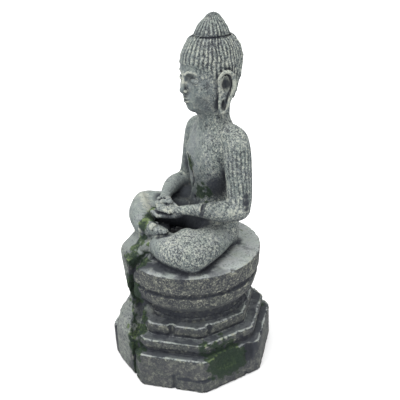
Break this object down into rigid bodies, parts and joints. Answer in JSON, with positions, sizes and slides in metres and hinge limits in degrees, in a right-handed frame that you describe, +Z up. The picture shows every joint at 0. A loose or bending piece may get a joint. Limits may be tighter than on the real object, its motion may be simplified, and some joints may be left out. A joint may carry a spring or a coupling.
{
  "type": "buddha statue",
  "caption": "Seated figure in meditation with a topknot and long ears, on a turned and stepped eight-sided pedestal with boulders at its front.",
  "frame": {"origin": "on the ground under the middle of the pedestal", "axes": "+Z up to the topknot; the figure faces -Y; its own left side is +X"},
  "size_m": [0.0904, 0.0917, 0.2],
  "materials": {
    "pedestal_stone": "cast stone-effect resin, dark wash in the recesses, dry-brushed pale edges",
    "boulder_stone": "cast stone-effect resin with green moss tint",
    "figure_stone": "cast stone-effect resin, speckled and pitted, dry-brushed pale ridges"
  },
  "bodies": {
    "root": {"base_plinth": "pedestal_stone", "lower_step": "pedestal_stone", "upper_step": "pedestal_stone", "neck_drum": "pedestal_stone", "lower_disc": "pedestal_stone", "seat_slab": "pedestal_stone", "rock_lower": "boulder_stone", "rock_upper": "boulder_stone", "torso": "figure_stone", "head": "figure_stone", "topknot": "figure_stone", "left_ear": "figure_stone", "right_ear": "figure_stone", "left_upper_arm": "figure_stone", "right_upper_arm": "figure_stone", "left_forearm": "figure_stone", "right_forearm": "figure_stone", "left_hand": "figure_stone", "right_hand": "figure_stone", "left_thigh": "figure_stone", "left_shin": "figure_stone", "left_foot": "figure_stone", "right_thigh": "figure_stone", "right_shin": "figure_stone", "right_foot": "figure_stone"}
  },
  "joints": []
}
